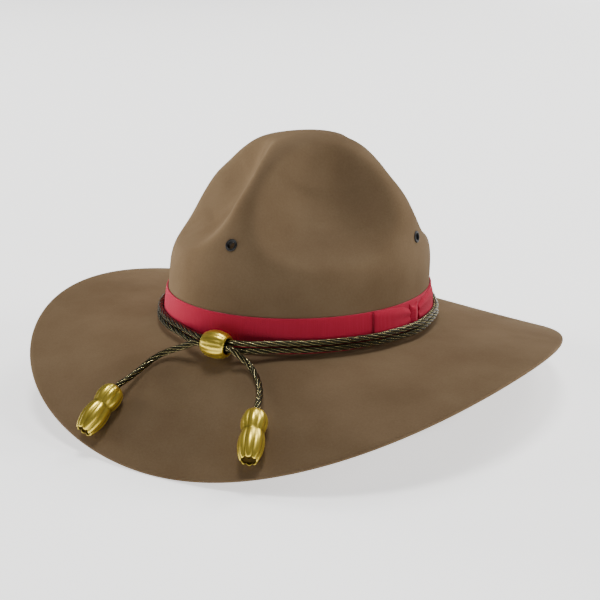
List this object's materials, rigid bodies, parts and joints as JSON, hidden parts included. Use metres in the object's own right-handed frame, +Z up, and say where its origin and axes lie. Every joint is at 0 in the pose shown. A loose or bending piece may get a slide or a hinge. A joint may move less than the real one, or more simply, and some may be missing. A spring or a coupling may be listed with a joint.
{
  "type": "campaign hat",
  "caption": "Felt campaign hat with a dented peaked crown, a wide drooping brim, a ribbon with a bow, and a hat cord with a slide and acorns.",
  "frame": {"origin": "on the surface the hat rests on, under the middle of its bounding box", "axes": "+Z up, +X towards the wearer's left, -Y towards the front of the hat"},
  "size_m": [0.3608, 0.3718, 0.1763],
  "materials": {
    "felt": "matt fur felt",
    "ribbon": "ribbed grosgrain",
    "cord": "twisted, with metallic threads",
    "gold": "polished gold colour",
    "eyelet": "black enamel"
  },
  "bodies": {
    "root": {"felt_body": "felt", "ribbon_band": "ribbon", "bow_wing_front": "ribbon", "bow_wing_rear": "ribbon", "bow_knot": "ribbon", "cord_turns": "cord", "cord_tail_right": "cord", "cord_tail_left": "cord", "cord_slide": "gold", "acorn_right": "gold", "acorn_left": "gold", "eyelet_front": "eyelet", "eyelet_left": "eyelet", "eyelet_rear": "eyelet", "eyelet_right": "eyelet"}
  },
  "joints": []
}
